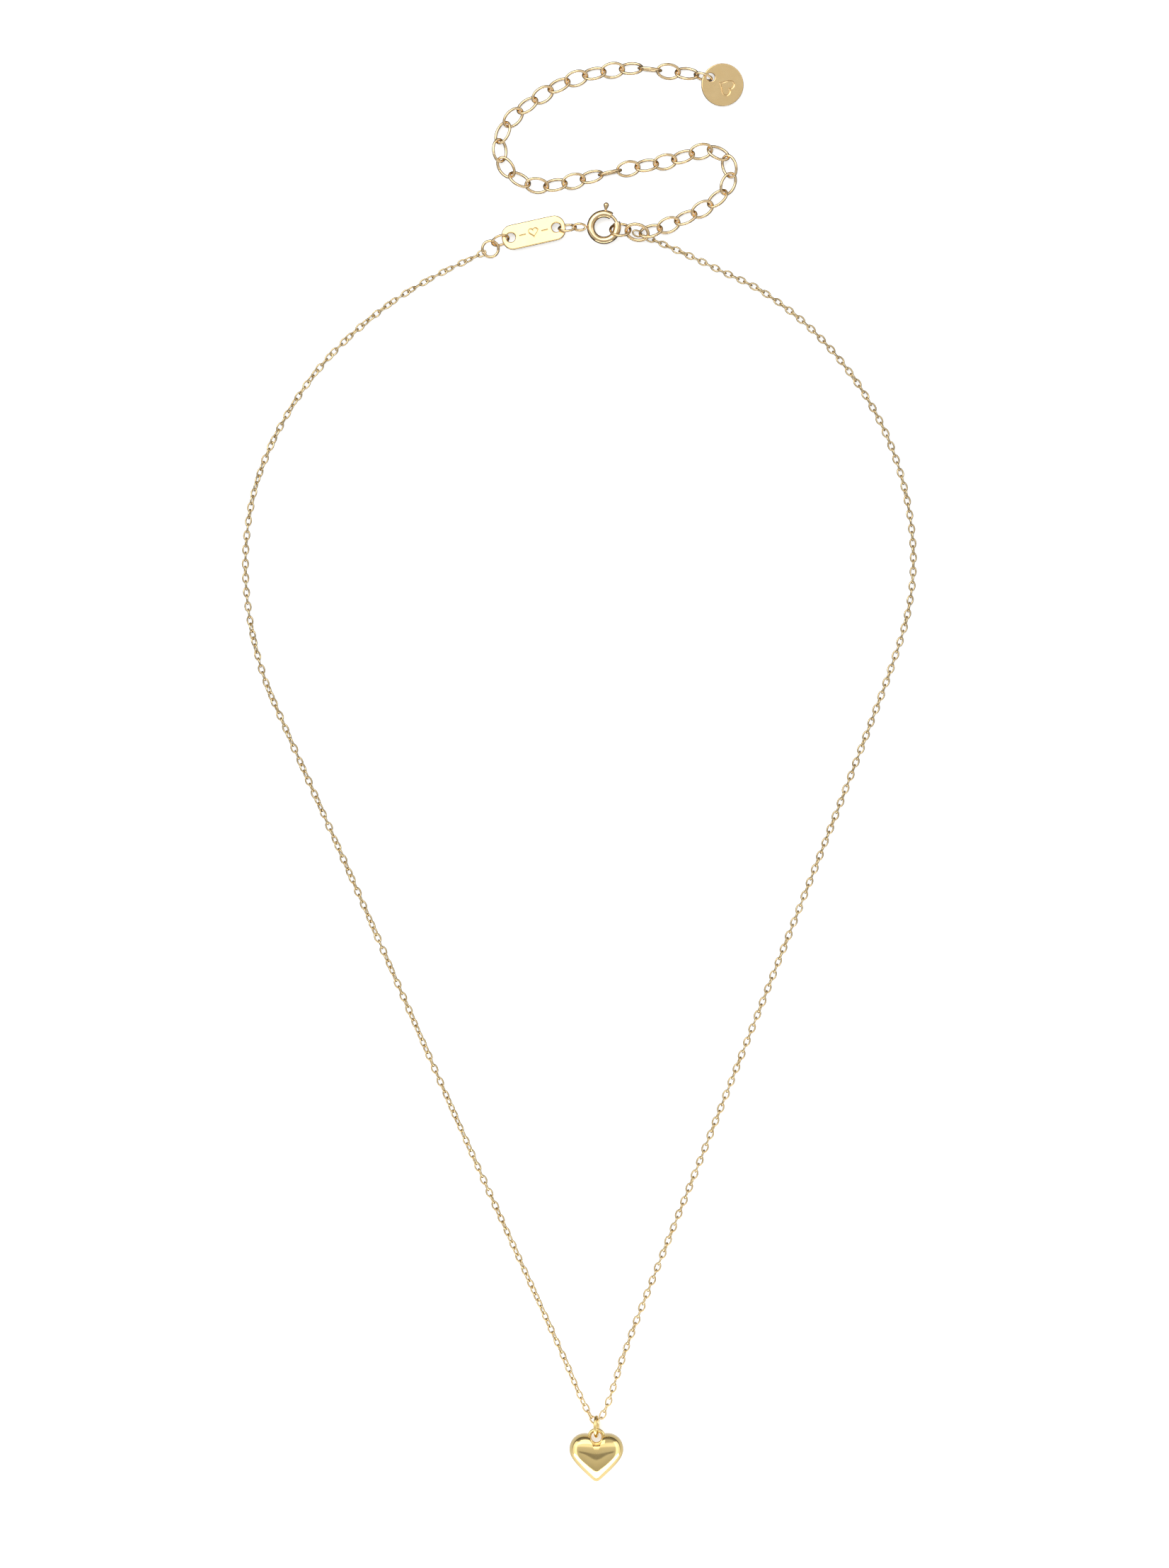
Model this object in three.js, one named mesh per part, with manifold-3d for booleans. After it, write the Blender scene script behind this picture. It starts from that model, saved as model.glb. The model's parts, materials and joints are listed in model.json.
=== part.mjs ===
// A fine pendant necklace lying flat: a puffed heart on a cable chain, a spring-ring clasp,
// a bar tag and an extender chain with an end tag.
// Millimetres, +Z up. The origin is under the middle of the whole necklace, on the surface it lies on,
// and +Y runs from the heart towards the clasp.
import * as THREE from "three";
import { mergeVertices } from "three/addons/utils/BufferGeometryUtils.js";
import Module from "manifold-3d";

const wasm = await Module();
wasm.setup();

// ---------------------------------------------------------------- driving dimensions
const DEG = Math.PI / 180;
const GAP = 0.05; // between two pieces that are soldered or crimped together
const CHAIN_GAP = 0.3; // between a chain tube's end and the piece next to it

const CHAIN_DIAMETER = 1.16; // outer envelope of the fine cable chain
const CHAIN_SIDES = 8;
const CHAIN_STEP = 5.4; // length of one straight stretch of a chain tube
const CHAIN_Z = 0.6; // height of the chain's middle above the surface

const EXTENDER_LINK = { length: 4.0, width: 2.75, wire: 0.42 };
const EXTENDER_LINKS = 33;
const EXTENDER_Z = 1.08;
const EDGE_ON_Z = 1.4;
const LINK_PLAY = 0.19; // slack between two neighbouring extender links
const EXTENDER_PITCH = EXTENDER_LINK.length - 2 * EXTENDER_LINK.wire - LINK_PLAY;
const EDGE_ON_LINKS = [14, 31]; // the links that stand on edge, where the chain's twist reverses
const LINK_LEAN = 29; // degrees that a link leans to one side on average
const LINK_LEAN_CHANGE = 9; // degrees more when the raised side faces -Y, and less when it faces +Y

const CLASP = { radius: 2.12, tube: 0.57, bore: 0.35, x: 3.95, y: 86.85, z: 1.2 };
const CLASP_GAP = { from: 20, to: 56 }; // degrees round the clasp, where the gate shows
const GATE = { radius: 0.26, tip: 12, tail: 100 };
const LEVER_ANGLE = 84;
const GATE_TRAVEL = 38; // degrees that the lever pulls the gate back
const SPRING_STOP = 188;

const BAR = { length: 10.3, width: 4.0, thickness: 0.48, corner: 1.7, holeSpacing: 7.44, holeRadius: 0.76 };
const BAR_PLACE = { x: -7.27, y: 85.96, z: 1.1, heading: 12.3 };

const HEART_TIP = { x: 2.75, y: -113.7 };
const HEART = { back: 0.4, height: 3.2, wall: 0.35, eyeUp: 7.45, eyeRadius: 1.13, eyeWire: 0.3, eyeZ: 1.12 };

const HEART_MIDDLE = 4.7; // height of the dome's crown above the heart's tip, along the heart

// The end tag: how far its ends and sides are from its middle, and its hole.
const DISC = { radius: 3.4, thickness: 0.45, holeRadius: 0.72, holeToMiddle: 2.24 };
const TAG_HOLE = { x: 20.98, y: 110.75, z: 1.12 };
const TAG_HEADING = -31;
const TAG_DROOP = 8; // degrees that the tag leans down to the surface from its ring

const GOLD = new THREE.MeshStandardMaterial({ color: 0xe3bd75, metalness: 1, roughness: 0.16 });
const PALE_GOLD = new THREE.MeshStandardMaterial({ color: 0xecd09a, metalness: 1, roughness: 0.2 });
const SPRING_STEEL = new THREE.MeshStandardMaterial({ color: 0xb5b2ab, metalness: 1, roughness: 0.35 });

// ---------------------------------------------------------------- routes (chosen by hand)
// Each chain half is listed from the top of the loop to the heart: x, y, z.
const LEFT_ROUTE = [
  [-15.8, 82.6, 0.6], [-23.7, 78.7, 0.6], [-30.5, 74.5, 0.6], [-36.6, 69.5, 0.6], [-41.6, 64.3, 0.6],
  [-46.0, 58.1, 0.6], [-49.5, 51.5, 0.6], [-51.9, 44.8, 0.6], [-53.1, 37.8, 0.6], [-53.3, 31.0, 0.6],
  [-52.5, 23.5, 0.6], [-50.4, 15.2, 0.6], [-46.9, 6.8, 0.6], [-37.9, -13.5, 0.6], [-28.0, -36.2, 0.6],
  [-18.1, -58.9, 0.6], [-8.2, -81.0, 0.6], [-2.9, -92.6, 0.66], [1.25, -101.9, 1.3],
];
const RIGHT_ROUTE = [
  [11.9, 84.8, 0.6], [17.2, 82.5, 0.6], [22.9, 79.8, 0.6], [28.8, 76.9, 0.6], [36.0, 71.6, 0.6],
  [41.4, 66.0, 0.6], [45.8, 59.9, 0.6], [49.4, 53.0, 0.6], [51.9, 45.5, 0.6], [53.2, 37.8, 0.6],
  [53.3, 31.0, 0.6], [52.3, 24.4, 0.6], [49.8, 16.4, 0.6], [45.9, 5.9, 0.6], [38.4, -13.6, 0.6],
  [29.5, -36.3, 0.6], [20.6, -58.9, 0.6], [11.9, -81.2, 0.6], [7.4, -92.4, 0.66], [4.15, -101.9, 1.3],
];
const ELBOW_Y = 45.6; // the height in Y at which each half of the chain bends, near its widest place

const EXTENDER_ROUTE = [
  [10.0, 85.8], [13.4, 86.8], [18.8, 89.2], [21.6, 90.9], [23.7, 93.1], [24.4, 95.7], [23.3, 98.3],
  [20.9, 99.3], [15.0, 97.5], [9.1, 96.4], [3.4, 95.2], [-2.5, 93.8], [-6.6, 93.3], [-10.1, 94.6],
  [-12.5, 97.4], [-12.8, 100.6], [-11.6, 103.3], [-7.0, 107.2], [-1.7, 110.2], [4.1, 111.7],
  [8.6, 112.2], [13.0, 111.8], [19.6, 111.1],
];

// ---------------------------------------------------------------- small tools
const polar = (radius, degrees) => [radius * Math.cos(degrees * DEG), radius * Math.sin(degrees * DEG)];

function addMesh(parent, name, geometry, material) {
  const mesh = new THREE.Mesh(geometry, material);
  mesh.name = name;
  parent.add(mesh);
  return mesh;
}

// Stands a piece at a place, its long axis turned to heading, its left side raised by lean, its front end by climb.
function place(object, x, y, z, heading = 0, lean = 0, climb = 0) {
  object.rotation.set(lean * DEG, -climb * DEG, heading * DEG, "ZYX");
  object.position.set(x, y, z);
  return object;
}

function solidOf(geometry) {
  const bare = geometry.clone();
  for (const name of Object.keys(bare.attributes)) {
    if (name !== "position") bare.deleteAttribute(name);
  }
  const merged = mergeVertices(bare, 1e-5);
  return new wasm.Manifold(new wasm.Mesh({
    numProp: 3,
    vertProperties: merged.attributes.position.array,
    triVerts: new Uint32Array(merged.index.array),
  }));
}

function geometryOf(solid) {
  const mesh = solid.getMesh();
  const geometry = new THREE.BufferGeometry();
  geometry.setAttribute("position", new THREE.BufferAttribute(mesh.vertProperties, 3));
  geometry.setIndex(new THREE.BufferAttribute(mesh.triVerts, 1));
  return geometry;
}

// A flat plate of this outline, its middle at z = 0, with round holes on the X axis.
function plateWithHoles(outline, holesX, holeRadius, thickness) {
  const shape = new THREE.Shape(outline);
  for (const x of holesX) {
    const rim = Array.from({ length: 16 }, (_, i) => {
      const [across, up] = polar(holeRadius, -22.5 * i);
      return new THREE.Vector2(x + across, up);
    });
    shape.holes.push(new THREE.Path(rim));
  }
  return new THREE.ExtrudeGeometry(shape, { depth: thickness, bevelEnabled: false }).translate(0, 0, -thickness / 2);
}

// ---------------------------------------------------------------- wire pieces
// An oval ring of round wire, lying in XY with its long axis along X.
function ovalRing({ length, width, wire }, steps = 16, sides = 6) {
  const geometry = new THREE.TorusGeometry(1, 0.5, sides, steps);
  const position = geometry.attributes.position;
  const halfLength = (length - wire) / 2;
  const halfWidth = (width - wire) / 2;
  const middle = new THREE.Vector3();
  const normal = new THREE.Vector3();
  for (let i = 0; i < position.count; i++) {
    const x = position.getX(i);
    const y = position.getY(i);
    const turn = Math.atan2(y, x);
    const outwards = Math.hypot(x, y) - 1;
    middle.set(halfLength * Math.cos(turn), halfWidth * Math.sin(turn), 0);
    normal.set(halfWidth * Math.cos(turn), halfLength * Math.sin(turn), 0).normalize();
    middle.addScaledVector(normal, outwards * wire);
    position.setXYZ(i, middle.x, middle.y, position.getZ(i) * wire);
  }
  return geometry;
}

// A round bar of the given radius along a curve, closed at both ends.
function roundBar(curve, radius, sides, steps) {
  const section = new THREE.Shape(
    Array.from({ length: sides }, (_, i) => new THREE.Vector2(...polar(radius, (360 * i) / sides))),
  );
  return new THREE.ExtrudeGeometry(section, { extrudePath: curve, steps, bevelEnabled: false });
}

// Part of a circle round Z, as a curve.
class Arc extends THREE.Curve {
  constructor(radius, from, to) {
    super();
    Object.assign(this, { radius, from, to });
  }
  getPoint(t, target = new THREE.Vector3()) {
    const [x, y] = polar(this.radius, this.from + t * (this.to - this.from));
    return target.set(x, y, 0);
  }
}

// A coil that runs along part of a circle round Z.
class ArcCoil extends THREE.Curve {
  constructor(radius, coil, turns, from, to) {
    super();
    Object.assign(this, { radius, coil, turns, from, to });
  }
  getPoint(t, target = new THREE.Vector3()) {
    const [out, up] = polar(this.coil, 360 * this.turns * t);
    const [x, y] = polar(this.radius + out, this.from + t * (this.to - this.from));
    return target.set(x, y, up);
  }
}

// ---------------------------------------------------------------- main chain
function routeCurve(points) {
  return new THREE.CatmullRomCurve3(points.map((p) => new THREE.Vector3(...p)));
}

// The stretch of a curve between two shares of its length, as a curve of its own.
function stretch(curve, from, to) {
  const count = Math.max(2, Math.round((curve.getLength() * (to - from)) / CHAIN_STEP));
  const points = Array.from({ length: count + 1 }, (_, i) => curve.getPointAt(from + ((to - from) * i) / count));
  return { curve: new THREE.CatmullRomCurve3(points), steps: count };
}

// The share of a route's length at which it first drops below a height in Y.
function shareAtY(curve, y) {
  const tries = 4000;
  for (let i = 0; i <= tries; i++) {
    if (curve.getPointAt(i / tries).y < y) return i / tries;
  }
  return 1;
}

function addChainHalf(parent, side, route) {
  const curve = routeCurve(route);
  const elbow = shareAtY(curve, ELBOW_Y);
  const halfGap = CHAIN_GAP / 2 / curve.getLength();
  for (const [part, from, to] of [["upper", 0, elbow - halfGap], ["lower", elbow + halfGap, 1]]) {
    const piece = stretch(curve, from, to);
    const tube = roundBar(piece.curve, CHAIN_DIAMETER / 2, CHAIN_SIDES, piece.steps);
    addMesh(parent, `chain_${side}_${part}`, tube, PALE_GOLD);
  }
}

// ---------------------------------------------------------------- extender chain
// Points one link apart along the extender's route: the places where neighbouring links touch.
function extenderContacts() {
  const route = new THREE.CatmullRomCurve3(EXTENDER_ROUTE.map(([x, y]) => new THREE.Vector3(x, y, 0)));
  const fine = route.getSpacedPoints(4000);
  const contacts = [fine[0].clone()];
  for (const point of fine) {
    if (contacts.length > EXTENDER_LINKS) break;
    if (point.distanceTo(contacts[contacts.length - 1]) >= EXTENDER_PITCH) contacts.push(point.clone());
  }
  contacts.forEach((point, i) => {
    const besideEdgeOn = EDGE_ON_LINKS.includes(i) || EDGE_ON_LINKS.includes(i + 1);
    point.z = besideEdgeOn ? EDGE_ON_Z : EXTENDER_Z;
  });
  return contacts;
}

// Neighbouring links lean to opposite sides. Past a link that stands on edge the two sides swap.
function linkLean(number, heading) {
  if (EDGE_ON_LINKS.includes(number)) return 90;
  const swaps = EDGE_ON_LINKS.filter((edge) => number > edge).length;
  const side = (number + swaps) % 2 === 0 ? 1 : -1;
  return side * (LINK_LEAN - side * LINK_LEAN_CHANGE * Math.cos(heading));
}

function addExtender(parent) {
  const contacts = extenderContacts();
  const link = ovalRing(EXTENDER_LINK);
  for (let i = 1; i < contacts.length; i++) {
    const from = contacts[i - 1];
    const to = contacts[i];
    const heading = Math.atan2(to.y - from.y, to.x - from.x);
    const climb = Math.atan2(to.z - from.z, EXTENDER_PITCH) / DEG;
    const middle = from.clone().add(to).divideScalar(2);
    const mesh = addMesh(parent, `extender_link_${String(i).padStart(2, "0")}`, link, PALE_GOLD);
    place(mesh, ...middle, heading / DEG, linkLean(i, heading), climb);
  }
}

// ---------------------------------------------------------------- clasp
function claspTube() {
  const annulus = new THREE.Shape(
    Array.from({ length: 12 }, (_, i) => new THREE.Vector2(...polar(CLASP.tube, 30 * i))),
  );
  annulus.holes.push(new THREE.Path(
    Array.from({ length: 8 }, (_, i) => new THREE.Vector2(...polar(CLASP.bore, -45 * i))),
  ));
  const arc = new Arc(CLASP.radius, CLASP_GAP.to, 360 + CLASP_GAP.from);
  const tube = new THREE.ExtrudeGeometry(annulus, { extrudePath: arc, steps: 27, bevelEnabled: false });
  // The lever's slot runs along the outside of the tube.
  const slotArc = new Arc(CLASP.radius + CLASP.tube, LEVER_ANGLE - 9, LEVER_ANGLE + GATE_TRAVEL + 9);
  const slot = new THREE.ExtrudeGeometry(
    new THREE.Shape([[-0.22, -0.32], [0.22, -0.32], [0.22, 0.32], [-0.22, 0.32]].map(
      ([across, out]) => new THREE.Vector2(across, out),
    )),
    { extrudePath: slotArc, steps: 8, bevelEnabled: false },
  );
  return geometryOf(solidOf(tube).subtract(solidOf(slot)));
}

// The thumb lever: a stem that leaves the tube through its slot and ends in a round bead.
function leverProfile() {
  const stem = 0.15;
  const bead = 0.42;
  const beadMiddle = 1.42;
  const start = GATE.radius + GAP;
  const points = [new THREE.Vector2(0, start), new THREE.Vector2(stem, start), new THREE.Vector2(stem, 0.6)];
  points.push(new THREE.Vector2(0.2, beadMiddle - 0.5));
  for (let turn = -60; turn <= 90; turn += 30) {
    const [across, up] = polar(bead, turn);
    points.push(new THREE.Vector2(Math.max(0, across), beadMiddle + up));
  }
  points[points.length - 1].x = 0;
  return points;
}

function addClasp(parent) {
  const clasp = new THREE.Group();
  addMesh(clasp, "clasp_tube", claspTube(), GOLD);
  const gateCurve = new Arc(CLASP.radius, GATE.tip, GATE.tail);
  addMesh(clasp, "clasp_gate", roundBar(gateCurve, GATE.radius, 8, 10), GOLD);
  const lever = addMesh(clasp, "clasp_lever", new THREE.LatheGeometry(leverProfile(), 8), GOLD);
  const [leverX, leverY] = polar(CLASP.radius, LEVER_ANGLE);
  place(lever, leverX, leverY, 0, LEVER_ANGLE - 90);
  const coil = new ArcCoil(CLASP.radius, 0.19, 9, GATE.tail + 3, SPRING_STOP);
  addMesh(clasp, "clasp_spring", roundBar(coil, 0.06, 5, 72), SPRING_STEEL);
  const eye = addMesh(clasp, "clasp_eye", ovalRing({ length: 2.4, width: 1.75, wire: 0.4 }), GOLD);
  place(eye, -CLASP.radius - CLASP.tube - GAP - 1.2, 0, 0, 0, 45);
  parent.add(place(clasp, CLASP.x, CLASP.y, CLASP.z, 0));
}

// ---------------------------------------------------------------- rings between the clasp end's pieces
const LEFT_JUMP_RING = { length: 3.05, width: 3.05, wire: 0.42 };
const BAR_RING = { length: 3.1, width: 2.8, wire: 0.38 };
const HOOK_LINK = { length: 3.6, width: 3.5, wire: 0.4 };
const CONNECTOR = { length: 4.1, width: 3.1, wire: 0.55 };
const PENDANT_RING = { length: 3.6, width: 2.9, wire: 0.5 };
const CENTRE_LINK = { length: 1.67, width: 1.17, wire: 0.27 };
const TAG_RING = { length: 3.2, width: 2.4, wire: 0.4 };

// The height of a leaning ring's middle when its lower edge lies on the surface.
function restingHeight({ width, wire }, lean) {
  return ((width - wire) / 2) * Math.abs(Math.sin(lean * DEG)) + wire / 2;
}

function addRings(parent) {
  const ring = (name, size, x, y, heading, lean, lift = 0) => {
    const z = restingHeight(size, lean) + lift;
    place(addMesh(parent, name, ovalRing(size), GOLD), x, y, z, heading, lean);
  };
  ring("left_jump_ring", LEFT_JUMP_RING, -14.19, 83.4, 28, 8, 0.4);
  ring("bar_ring_left", BAR_RING, -12.6, 84.73, 20, 59, 0);
  ring("bar_ring_right", BAR_RING, -1.89, 86.71, 6, -61, 0);
  ring("hook_link", HOOK_LINK, 6.56, 86.39, -1, -47, 0);
  ring("connector_link", CONNECTOR, 9.25, 86.0, -15, 20, 0.6);
  ring("pendant_ring", PENDANT_RING, 2.75, -104.57, 90, 79, 0);
  ring("centre_link", CENTRE_LINK, 2.75, -103.98, 0, 24, 1);
  ring("tag_ring", TAG_RING, 19.8, 110.85, -16, 69, 0);
}

// ---------------------------------------------------------------- bar tag
function barTag() {
  const halfLength = BAR.length / 2;
  const halfWidth = BAR.width / 2;
  const bar = new THREE.Shape();
  bar.moveTo(-halfLength + BAR.corner, -halfWidth);
  bar.lineTo(halfLength - BAR.corner, -halfWidth);
  bar.absarc(halfLength - BAR.corner, -halfWidth + BAR.corner, BAR.corner, -Math.PI / 2, 0);
  bar.lineTo(halfLength, halfWidth - BAR.corner);
  bar.absarc(halfLength - BAR.corner, halfWidth - BAR.corner, BAR.corner, 0, Math.PI / 2);
  bar.lineTo(-halfLength + BAR.corner, halfWidth);
  bar.absarc(-halfLength + BAR.corner, halfWidth - BAR.corner, BAR.corner, Math.PI / 2, Math.PI);
  bar.lineTo(-halfLength, -halfWidth + BAR.corner);
  bar.absarc(-halfLength + BAR.corner, -halfWidth + BAR.corner, BAR.corner, Math.PI, 1.5 * Math.PI);
  const holes = [-BAR.holeSpacing / 2, BAR.holeSpacing / 2];
  return plateWithHoles(bar.getPoints(6).slice(0, -1), holes, BAR.holeRadius, BAR.thickness);
}

// ---------------------------------------------------------------- end tag
// A plain round disc. Its hole is at the origin.
function endTag() {
  const disc = new THREE.Path();
  disc.absarc(DISC.holeToMiddle, 0, DISC.radius, 0, 2 * Math.PI);
  return plateWithHoles(disc.getPoints(24).slice(0, -1), [0], DISC.holeRadius, DISC.thickness);
}

// ---------------------------------------------------------------- heart
// Half of the heart's outline, from its tip at the origin up to its notch on +Y.
function heartOutline(inset = 0) {
  const half = new THREE.CurvePath();
  const v = (x, y) => new THREE.Vector3(x, y, 0);
  half.add(new THREE.CubicBezierCurve3(v(0, 0), v(3.0, 2.75), v(4.32, 4.0), v(4.32, 5.4)));
  half.add(new THREE.CubicBezierCurve3(v(4.32, 5.4), v(4.32, 6.9), v(3.2, 7.95), v(1.8, 7.95)));
  half.add(new THREE.CubicBezierCurve3(v(1.8, 7.95), v(0.9, 7.95), v(0.3, 7.4), v(0, 6.5)));
  const right = half.curves.flatMap((curve, i) => curve.getPoints(6).slice(i ? 1 : 0));
  const left = right.slice(1, -1).reverse().map((p) => v(-p.x, p.y));
  const middle = v(0, HEART_MIDDLE);
  return [...right, ...left].map((p) => p.sub(middle).multiplyScalar(1 - inset / 4).add(middle));
}

// A dome over the heart's outline, flat underneath at z = 0, and closed.
function heartDome(inset, height) {
  const outline = heartOutline(inset);
  const rings = [1, 0.97, 0.9, 0.78, 0.62, 0.42, 0.2];
  const vertices = [];
  for (const share of rings) {
    const z = height * Math.sqrt(1 - share ** 2.6);
    for (const p of outline) vertices.push(p.x * share, HEART_MIDDLE + (p.y - HEART_MIDDLE) * share, z);
  }
  const crown = vertices.length / 3;
  vertices.push(0, HEART_MIDDLE, height, 0, HEART_MIDDLE, 0);
  const count = outline.length;
  const faces = [];
  for (let i = 0; i < count; i++) {
    const next = (i + 1) % count;
    for (let ring = 0; ring < rings.length - 1; ring++) {
      const [a, b] = [ring * count + i, ring * count + next];
      faces.push(a, b, b + count, a, b + count, a + count);
    }
    faces.push((rings.length - 1) * count + i, (rings.length - 1) * count + next, crown);
    faces.push(next, i, crown + 1);
  }
  const geometry = new THREE.BufferGeometry();
  geometry.setAttribute("position", new THREE.Float32BufferAttribute(vertices, 3));
  geometry.setIndex(faces);
  return geometry;
}

// The round recess that the eye is soldered into.
function eyeRecess() {
  const radius = HEART.eyeRadius + HEART.eyeWire + GAP;
  const recess = new THREE.CylinderGeometry(radius, radius, 9, 24);
  return solidOf(recess.rotateX(Math.PI / 2).translate(0, HEART.eyeUp, 0));
}

function addHeart(parent) {
  const heart = new THREE.Group();
  const hollow = solidOf(heartDome(HEART.wall, HEART.height - HEART.back - HEART.wall).translate(0, 0, -GAP));
  const shell = solidOf(heartDome(0, HEART.height - HEART.back)).subtract(hollow).subtract(eyeRecess());
  const front = addMesh(heart, "heart_front_shell", geometryOf(shell), GOLD);
  front.position.z = HEART.back + GAP;
  const outline = heartOutline().map((p) => new THREE.Vector2(p.x, p.y));
  const back = new THREE.ExtrudeGeometry(new THREE.Shape(outline), { depth: HEART.back, bevelEnabled: false });
  addMesh(heart, "heart_back_plate", geometryOf(solidOf(back).subtract(eyeRecess())), GOLD);
  const outer = 2 * (HEART.eyeRadius + HEART.eyeWire);
  const eye = ovalRing({ length: outer, width: outer, wire: 2 * HEART.eyeWire }, 20, 8);
  place(addMesh(heart, "heart_eye", eye, GOLD), 0, HEART.eyeUp, HEART.eyeZ);
  parent.add(place(heart, HEART_TIP.x, HEART_TIP.y, 0));
}

// ---------------------------------------------------------------- the necklace
const necklace = new THREE.Group();
addHeart(necklace);
addChainHalf(necklace, "left", LEFT_ROUTE);
addChainHalf(necklace, "right", RIGHT_ROUTE);
addRings(necklace);
place(addMesh(necklace, "bar_tag", barTag(), GOLD), BAR_PLACE.x, BAR_PLACE.y, BAR_PLACE.z, BAR_PLACE.heading);
addClasp(necklace);
addExtender(necklace);
place(addMesh(necklace, "end_tag", endTag(), GOLD), TAG_HOLE.x, TAG_HOLE.y, TAG_HOLE.z, TAG_HEADING, 0, -TAG_DROOP);

export default necklace;
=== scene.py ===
"""A fine gold pendant necklace lying on a pale surface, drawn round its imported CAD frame.

Lengths in this file are millimetres unless a name says otherwise. make_piece() turns them into metres.
"""

import json
import math

import bpy
import numpy as np
from mathutils import Matrix, Vector


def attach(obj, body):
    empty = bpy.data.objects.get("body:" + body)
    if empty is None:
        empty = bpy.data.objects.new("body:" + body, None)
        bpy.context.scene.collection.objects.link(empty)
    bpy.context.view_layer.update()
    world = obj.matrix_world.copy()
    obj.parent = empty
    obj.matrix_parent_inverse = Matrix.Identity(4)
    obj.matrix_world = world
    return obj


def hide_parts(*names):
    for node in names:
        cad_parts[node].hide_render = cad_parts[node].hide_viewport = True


MM = 0.001

# ---------------------------------------------------------------- driving dimensions
CHAIN_LINK = {"length": 1.73, "width": 1.18, "wire": 0.28}
CHAIN_PITCH = 1.14
CHAIN_SECTIONS = 22
CHAIN_SIDES = 9

# Diameter of the wire that each kind of ring is bent from.
WIRE = {
    "extender_link": 0.45,
    "left_jump_ring": 0.44,
    "bar_ring_left": 0.38,
    "bar_ring_right": 0.38,
    "clasp_eye": 0.4,
    "hook_link": 0.42,
    "connector_link": 0.52,
    "pendant_ring": 0.5,
    "tag_ring": 0.4,
    "heart_eye": 0.62,
}

CLASP_RADIUS = 2.12
CLASP_TUBE = 0.6
CLASP_BORE = 0.35
CLASP_GAP = (20, 56)
GATE_ARC = (12, 100)
GATE_RADIUS = 0.25
LEVER_ANGLE = 84
LEVER_SLOT = (75, 131)
SLOT_REACH = (0.3, 0.9)
SLOT_HALF_HEIGHT = 0.21
CLASP_LIP = 1.6

BAR = {
    "length": 10.3,
    "width": 4.0,
    "thickness": 0.48,
    "corner": 1.7,
    "hole_spacing": 7.44,
    "hole": 0.72,
    "bevel": 0.2,
}
BAR_HEART = 1.5
BAR_RULE = (1.25, 2.35)
TAG = {"radius": 3.4, "thickness": 0.45, "hole": 0.68, "hole_to_middle": 2.24, "bevel": 0.11}
TAG_HEART = 2.5
TAG_HEART_SHIFT = 0.75
GROOVE_RADIUS = 0.14
GROOVE_LIFT = 0.03

HEART_TIP = (2.75, -113.7)
HEART_BACK = 0.4
HEART_HEIGHT = 3.2
HEART_MIDDLE = 4.7
HEART_EYE_UP = 7.45
EYE_RECESS = 1.2

# The fine chain's route: from the left jump ring down to the heart and up to the connector link.
CHAIN_ROUTE = [
    (-15.1, 82.92, 0.62), (-23.7, 78.7, 0.6), (-30.5, 74.5, 0.6), (-36.6, 69.5, 0.6), (-41.6, 64.3, 0.6),
    (-46.0, 58.1, 0.6), (-49.5, 51.5, 0.6), (-51.9, 44.8, 0.6), (-53.1, 37.8, 0.6), (-53.3, 31.0, 0.6),
    (-52.5, 23.5, 0.6), (-50.4, 15.2, 0.6), (-46.9, 6.8, 0.6), (-37.9, -13.5, 0.6), (-18.1, -58.9, 0.6),
    (-2.9, -92.6, 0.66), (1.25, -101.9, 1.3), (2.75, -103.95, 1.45), (4.15, -101.9, 1.3), (7.4, -92.4, 0.66),
    (20.6, -58.9, 0.6), (38.4, -13.6, 0.6), (45.9, 5.9, 0.6), (49.8, 16.4, 0.6), (52.3, 24.4, 0.6),
    (53.3, 31.0, 0.6), (53.2, 37.8, 0.6), (51.9, 45.5, 0.6), (49.4, 53.0, 0.6), (45.8, 59.9, 0.6),
    (41.4, 66.0, 0.6), (36.0, 71.6, 0.6), (28.8, 76.9, 0.6), (22.9, 79.8, 0.6), (17.2, 82.5, 0.6),
    (12.4, 84.6, 0.55), (10.2, 85.5, 0.6), (7.7, 86.5, 0.95),
]

CHAIN_ELBOW = (-51.68, 45.59)

# What the camera takes in, and where it looks straight down.
VIEW_HEIGHT = 250.6
VIEW_MIDDLE = (0.85, -2.04)
LENS = 120
SENSOR_WIDTH = 36
FLOOR_HALF_SIDE = 900
FLOOR_DROP = 0.02

# How bright the studio's room is, as (place, level) stops: from the front (0) over the top (0.5) to the
# back (1), from the middle (0) out to either side (1), and from the horizon (0) up to the ceiling (1).
ROOM_STRENGTH = 1.5
ROOM_FRONT_TO_BACK = [
    (0.0, 0.3), (0.2, 0.32), (0.39, 0.45), (0.405, 0.2), (0.44, 0.2), (0.455, 0.42),
    (0.56, 0.48), (0.62, 0.85), (0.72, 0.85), (0.78, 0.45), (1.0, 0.35),
]
ROOM_TO_THE_SIDES = [(0.0, 0.0), (0.45, 0.1), (0.8, 0.55), (1.0, 0.5)]
ROOM_BY_HEIGHT = [(0.0, 0.3), (0.3, 0.45), (0.5, 1.0), (1.0, 1.0)]
FLOOR_GLOW = 0.45
# How bright the paper looks in shiny things, as (place, level) stops between two places along y, in metres.
MIRRORED_FROM, MIRRORED_TO = -0.075, -0.125
MIRRORED_STRENGTH = 3.2
MIRRORED_FLOOR = [(0.0, 0.03), (0.42, 0.03), (0.55, 0.2), (0.72, 0.24), (0.79, 0.34), (1.0, 0.36)]

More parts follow.
